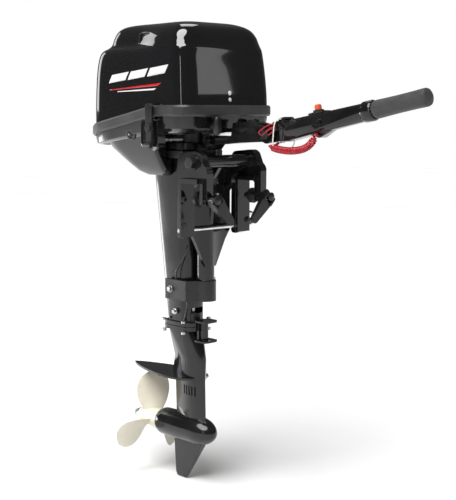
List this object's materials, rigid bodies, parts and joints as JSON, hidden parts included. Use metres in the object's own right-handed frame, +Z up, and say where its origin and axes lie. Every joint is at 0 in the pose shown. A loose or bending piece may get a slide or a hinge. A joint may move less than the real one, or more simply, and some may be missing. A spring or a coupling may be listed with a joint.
{
  "type": "outboard motor",
  "caption": "Tiller-steered portable outboard motor with tilting, steering transom bracket, clamp screws, lift-off cowl, geared lower unit and propeller.",
  "frame": {"origin": "top edge of the transom's outer face, halfway across the motor", "axes": "+X forward to the boat and the tiller grip, +Y port, +Z up"},
  "size_m": [0.8693, 0.298, 1.047],
  "materials": {
    "cowl_gloss": "glossy black moulded cowl with an orange-peel lacquer",
    "band_rubber": "dark grey semi-matt rubber",
    "casting_black": "glossy black paint on die-cast aluminium",
    "casting_satin": "satin black paint on castings",
    "bare_casting": "bare die-cast aluminium",
    "steel": "machined steel",
    "chrome": "bright plated steel rod and screws",
    "grip_rubber": "matt ribbed rubber",
    "dark_plastic": "matt black moulded plastic",
    "button_red": "orange-red moulded plastic",
    "lanyard_red": "red coiled plastic cord",
    "prop_cream": "cream painted aluminium",
    "gear_bronze": "oiled bronze and hardened steel gears",
    "white_ceramic": "white glazed ceramic or white moulded plastic",
    "zinc": "dull cast zinc"
  },
  "bodies": {
    "bracket": {"clamp_bracket_port": "casting_black", "clamp_bracket_starboard": "casting_black", "tilt_bolt": "chrome"},
    "thrust": {"thrust_rod": "chrome"},
    "pad_port": {"clamp_pad_port": "casting_satin"},
    "pad_starboard": {"clamp_pad_starboard": "casting_satin"},
    "screw_port": {"clamp_screw_port": "chrome"},
    "screw_starboard": {"clamp_screw_starboard": "chrome"},
    "handle_port": {"clamp_handle_port": "casting_satin"},
    "handle_starboard": {"clamp_handle_starboard": "casting_satin"},
    "swivel": {"swivel_bracket": "casting_black", "swivel_bushes": "prop_cream"},
    "motor": {"lower_cowl": "casting_black", "cowl_band": "band_rubber", "recoil_housing": "dark_plastic", "cylinder_block": "casting_satin", "cylinder_head": "casting_satin", "carburettor": "bare_casting", "intake_silencer": "dark_plastic", "ignition_coil": "dark_plastic", "spark_plugs": "white_ceramic", "crankshaft": "steel", "connecting_rods": "steel", "pistons": "bare_casting", "fuel_connector": "chrome", "drive_housing": "casting_black", "rubber_mounts": "band_rubber", "steering_shaft": "steel", "steering_arm": "casting_satin", "lower_yoke": "casting_satin", "tiller_bracket": "casting_black", "tiller_bolt": "chrome", "splash_plates": "casting_black", "gearcase": "casting_black", "bearing_carrier": "bare_casting", "water_pump": "dark_plastic", "anode": "zinc", "case_bolts": "chrome"},
    "cowl": {"top_cowl": "cowl_gloss"},
    "latch": {"cowl_latch": "casting_satin"},
    "starter": {"starter_handle": "dark_plastic"},
    "choke": {"choke_knob": "dark_plastic"},
    "shift": {"shift_lever": "steel"},
    "shift_link": {"shift_rod": "steel"},
    "drive": {"flywheel": "bare_casting", "drive_shaft": "steel", "pinion_gear": "gear_bronze"},
    "forward": {"forward_gear": "gear_bronze"},
    "reverse": {"reverse_gear": "gear_bronze"},
    "prop": {"propeller": "prop_cream", "prop_nut": "chrome", "propeller_shaft": "steel"},
    "dog": {"dog_clutch": "gear_bronze"},
    "tiller": {"tiller_arm": "casting_black", "grip_collar": "chrome", "stop_switch": "dark_plastic", "lanyard_cord": "lanyard_red", "lanyard_clips": "lanyard_red"},
    "grip": {"throttle_grip": "grip_rubber"},
    "button": {"stop_button": "button_red"}
  },
  "joints": [
    {"name": "tilt", "type": "hinge", "parent": "bracket", "child": "swivel", "pos_m": [0.024, 0, 0.044], "axis": [0, 1, 0], "range_deg": [0, 65]},
    {"name": "steering", "type": "hinge", "parent": "swivel", "child": "motor", "pos_m": [-0.036, 0, 0], "axis": [0, 0, 1], "range_deg": [-40, 40]},
    {"name": "thrust_pull", "type": "slide", "parent": "bracket", "child": "thrust", "axis": [0, 1, 0], "range_m": [0, 0.19]},
    {"name": "pad_port_slide", "type": "slide", "parent": "bracket", "child": "pad_port", "axis": [-1, 0, 0], "range_m": [-0.01, 0.005]},
    {"name": "screw_port_turn", "type": "hinge", "parent": "pad_port", "child": "screw_port", "pos_m": [0.0815, 0.081, -0.034], "axis": [-1, 0, 0], "range_deg": [-1200, 600]},
    {"name": "handle_port_flip", "type": "hinge", "parent": "screw_port", "child": "handle_port", "pos_m": [0.0815, 0.081, -0.034], "axis": [0, -0.7314, 0.682], "range_deg": [0, 80]},
    {"name": "pad_starboard_slide", "type": "slide", "parent": "bracket", "child": "pad_starboard", "axis": [-1, 0, 0], "range_m": [-0.01, 0.005]},
    {"name": "screw_starboard_turn", "type": "hinge", "parent": "pad_starboard", "child": "screw_starboard", "pos_m": [0.0815, -0.081, -0.034], "axis": [-1, 0, 0], "range_deg": [-1200, 600]},
    {"name": "handle_starboard_flip", "type": "hinge", "parent": "screw_starboard", "child": "handle_starboard", "pos_m": [0.0815, -0.081, -0.034], "axis": [0, -0.7314, -0.682], "range_deg": [0, 80]},
    {"name": "cowl_lift", "type": "slide", "parent": "motor", "child": "cowl", "axis": [0, 0, 1], "range_m": [0, 0.15]},
    {"name": "latch_turn", "type": "hinge", "parent": "motor", "child": "latch", "pos_m": [-0.052, -0.145, 0.118], "axis": [0, 1, 0], "range_deg": [0, 90]},
    {"name": "starter_pull", "type": "slide", "parent": "motor", "child": "starter", "axis": [1, 0, 0], "range_m": [0, 0.3], "stiffness_N_per_m": 60},
    {"name": "choke_pull", "type": "slide", "parent": "motor", "child": "choke", "axis": [1, 0, 0], "range_m": [0, 0.012]},
    {"name": "shift_swing", "type": "hinge", "parent": "motor", "child": "shift", "pos_m": [-0.044, -0.09, 0.092], "axis": [0, 1, 0], "range_deg": [-15, 15]},
    {"name": "shift_link_slide", "type": "slide", "parent": "motor", "child": "shift_link", "axis": [0, 0, 1], "range_m": [-0.0038, 0.0038]},
    {"name": "drive_spin", "type": "hinge", "parent": "motor", "child": "drive", "pos_m": [-0.08, 0, 0], "axis": [0, 0, 1], "continuous": true},
    {"name": "forward_gear_spin", "type": "hinge", "parent": "motor", "child": "forward", "pos_m": [-0.08, 0, -0.579], "axis": [1, 0, 0], "continuous": true},
    {"name": "reverse_gear_spin", "type": "hinge", "parent": "motor", "child": "reverse", "pos_m": [-0.08, 0, -0.579], "axis": [1, 0, 0], "continuous": true},
    {"name": "prop_spin", "type": "hinge", "parent": "motor", "child": "prop", "pos_m": [-0.08, 0, -0.579], "axis": [1, 0, 0], "continuous": true},
    {"name": "dog_slide", "type": "slide", "parent": "prop", "child": "dog", "axis": [1, 0, 0], "range_m": [-0.003, 0.003]},
    {"name": "tiller_fold", "type": "hinge", "parent": "motor", "child": "tiller", "pos_m": [0.176, 0, 0.104], "axis": [0, -1, 0], "range_deg": [0, 90]},
    {"name": "throttle_twist", "type": "hinge", "parent": "tiller", "child": "grip", "pos_m": [0.176, 0, 0.104], "axis": [0.9816, 0, 0.1908], "range_deg": [0, 100]},
    {"name": "stop_press", "type": "slide", "parent": "tiller", "child": "button", "axis": [0.1908, 0, -0.9816], "range_m": [0, 0.003], "stiffness_N_per_m": 400}
  ],
  "couplings": [
    {"joint": "pad_port_slide", "follows": "screw_port_turn", "m_per_rad": 0.00047746},
    {"joint": "pad_starboard_slide", "follows": "screw_starboard_turn", "m_per_rad": 0.00047746},
    {"joint": "forward_gear_spin", "follows": "drive_spin", "ratio": -0.48148},
    {"joint": "reverse_gear_spin", "follows": "drive_spin", "ratio": 0.48148},
    {"joint": "shift_swing", "follows": "shift_link_slide", "rad_per_m": 67.517},
    {"joint": "dog_slide", "follows": "shift_link_slide", "ratio": 0.76316}
  ]
}
